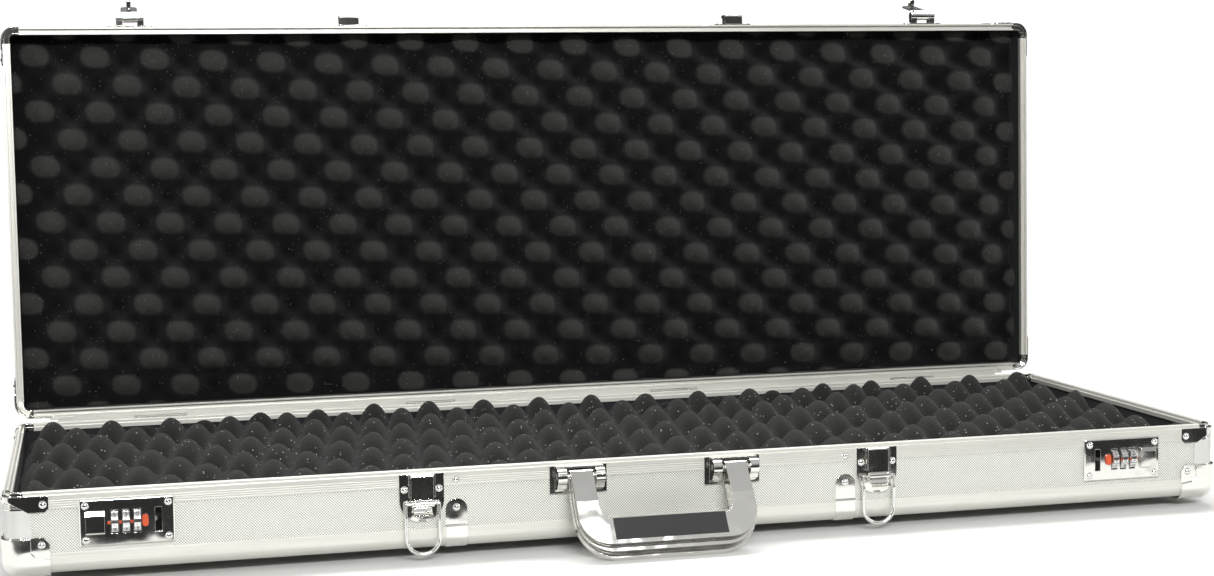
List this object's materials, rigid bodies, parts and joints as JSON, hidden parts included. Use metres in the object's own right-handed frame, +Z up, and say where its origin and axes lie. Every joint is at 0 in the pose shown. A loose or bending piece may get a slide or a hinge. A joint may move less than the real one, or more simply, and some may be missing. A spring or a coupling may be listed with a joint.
{
  "type": "carrying case",
  "caption": "Long aluminium-framed carrying case with an open hinged lid, egg-crate foam, toggle latches, combination locks and a swinging handle.",
  "frame": {"origin": "on the table plane, under the middle of the whole open case", "axes": "+X along the case, +Y towards the hinges, +Z up; the front with the handle faces -Y"},
  "size_m": [1.1056, 0.5097, 0.5017],
  "materials": {
    "panel": "silver, embossed with a fine diamond grid",
    "frame": "satin anodised extrusion",
    "posts": "matt anodised",
    "hardware": "bright plated steel",
    "rivets": "bright domed heads",
    "wire": "bright plated wire",
    "pins": "turned steel",
    "dials": "plated, with black numbers",
    "lock_housing": "dark moulded",
    "orange_plastic": "orange-red moulded",
    "grip": "black, lightly polished",
    "feet": "matt black",
    "lining": "black flocked",
    "base_foam": "charcoal open-cell foam",
    "lid_foam": "near-black open-cell foam"
  },
  "bodies": {
    "base": {"base_front_panel": "panel", "base_rear_panel": "panel", "base_end_panels": "panel", "base_bottom_panel": "panel", "base_rim_extrusions": "frame", "base_rim_corners": "hardware", "base_edge_extrusions": "frame", "base_corner_posts": "posts", "base_ball_corners": "hardware", "base_edge_straps": "hardware", "base_hinge_rail": "frame", "base_lining": "lining", "base_foam": "base_foam", "base_rivets": "rivets", "rubber_feet": "feet", "hinge_base_leaves": "hardware", "hinge_pins": "pins", "handle_brackets": "hardware", "handle_pins": "pins", "latch_plates": "hardware", "latch_pins": "pins", "lock_plates": "hardware", "lock_housings": "lock_housing", "lock_dial_shafts": "pins", "lock_index_marks": "orange_plastic"},
    "lid": {"lid_front_panel": "panel", "lid_rear_panel": "panel", "lid_end_panels": "panel", "lid_top_panel": "panel", "lid_rim_extrusions": "frame", "lid_rim_corners": "hardware", "lid_edge_extrusions": "frame", "lid_corner_posts": "posts", "lid_ball_corners": "hardware", "lid_hinge_rail": "frame", "lid_lining": "lining", "lid_foam": "lid_foam", "lid_rivets": "rivets", "hinge_lid_leaves": "hardware", "lid_hardware": "hardware"},
    "handle": {"handle_frame": "hardware", "handle_grip": "grip"},
    "latch_left": {"latch_lever_left": "hardware"},
    "bail_left": {"latch_bail_left": "wire"},
    "latch_right": {"latch_lever_right": "hardware"},
    "bail_right": {"latch_bail_right": "wire"},
    "lock_slide_left": {"lock_button_left": "hardware", "lock_bolt_left": "pins"},
    "reset_lever_left": {"lock_reset_lever_left": "orange_plastic"},
    "lock_dial_left_1": {"lock_dial_left_1": "dials"},
    "lock_dial_left_2": {"lock_dial_left_2": "dials"},
    "lock_dial_left_3": {"lock_dial_left_3": "dials"},
    "lock_slide_right": {"lock_button_right": "hardware", "lock_bolt_right": "pins"},
    "reset_lever_right": {"lock_reset_lever_right": "orange_plastic"},
    "lock_dial_right_1": {"lock_dial_right_1": "dials"},
    "lock_dial_right_2": {"lock_dial_right_2": "dials"},
    "lock_dial_right_3": {"lock_dial_right_3": "dials"},
    "hasp_left": {"hasp_flap_left": "hardware"},
    "hasp_right": {"hasp_flap_right": "hardware"}
  },
  "joints": [
    {"name": "lid_hinge", "type": "hinge", "parent": "base", "child": "lid", "pos_m": [0, 0.2007, 0.0766], "axis": [1, 0, 0], "range_deg": [0, 91]},
    {"name": "handle_swing", "type": "hinge", "parent": "base", "child": "handle", "pos_m": [0, -0.203, 0.0675], "axis": [-1, 0, 0], "range_deg": [0, 52]},
    {"name": "latch_lever_left", "type": "hinge", "parent": "base", "child": "latch_left", "pos_m": [-0.2073, -0.1976, 0.0738], "axis": [-1, 0, 0], "range_deg": [0, 110]},
    {"name": "bail_left", "type": "hinge", "parent": "latch_left", "child": "bail_left", "pos_m": [-0.2073, -0.1998, 0.051], "axis": [1, 0, 0], "range_deg": [-165, 0]},
    {"name": "latch_lever_right", "type": "hinge", "parent": "base", "child": "latch_right", "pos_m": [0.2073, -0.1976, 0.0738], "axis": [-1, 0, 0], "range_deg": [0, 110]},
    {"name": "bail_right", "type": "hinge", "parent": "latch_right", "child": "bail_right", "pos_m": [0.2073, -0.1998, 0.051], "axis": [1, 0, 0], "range_deg": [-165, 0]},
    {"name": "lock_button_left", "type": "slide", "parent": "base", "child": "lock_slide_left", "axis": [-1, 0, 0], "range_m": [0, 0.004], "stiffness_N_per_m": 150},
    {"name": "reset_lever_left", "type": "slide", "parent": "base", "child": "reset_lever_left", "axis": [0, 0, 1], "range_m": [0, 0.002]},
    {"name": "dial_left_1", "type": "hinge", "parent": "base", "child": "lock_dial_left_1", "pos_m": [-0.462, -0.1904, 0.0515], "axis": [1, 0, 0], "continuous": true},
    {"name": "dial_left_2", "type": "hinge", "parent": "base", "child": "lock_dial_left_2", "pos_m": [-0.4529, -0.1904, 0.0515], "axis": [1, 0, 0], "continuous": true},
    {"name": "dial_left_3", "type": "hinge", "parent": "base", "child": "lock_dial_left_3", "pos_m": [-0.4438, -0.1904, 0.0515], "axis": [1, 0, 0], "continuous": true},
    {"name": "lock_button_right", "type": "slide", "parent": "base", "child": "lock_slide_right", "axis": [1, 0, 0], "range_m": [0, 0.004], "stiffness_N_per_m": 150},
    {"name": "reset_lever_right", "type": "slide", "parent": "base", "child": "reset_lever_right", "axis": [0, 0, 1], "range_m": [0, 0.002]},
    {"name": "dial_right_1", "type": "hinge", "parent": "base", "child": "lock_dial_right_1", "pos_m": [0.462, -0.1904, 0.0515], "axis": [1, 0, 0], "continuous": true},
    {"name": "dial_right_2", "type": "hinge", "parent": "base", "child": "lock_dial_right_2", "pos_m": [0.4529, -0.1904, 0.0515], "axis": [1, 0, 0], "continuous": true},
    {"name": "dial_right_3", "type": "hinge", "parent": "base", "child": "lock_dial_right_3", "pos_m": [0.4438, -0.1904, 0.0515], "axis": [1, 0, 0], "continuous": true},
    {"name": "hasp_left", "type": "hinge", "parent": "lid", "child": "hasp_left", "pos_m": [-0.4268, 0.21435, 0.48012], "axis": [1, 0, 0], "range_deg": [0, 168]},
    {"name": "hasp_right", "type": "hinge", "parent": "lid", "child": "hasp_right", "pos_m": [0.4268, 0.21435, 0.48012], "axis": [1, 0, 0], "range_deg": [0, 168]}
  ]
}
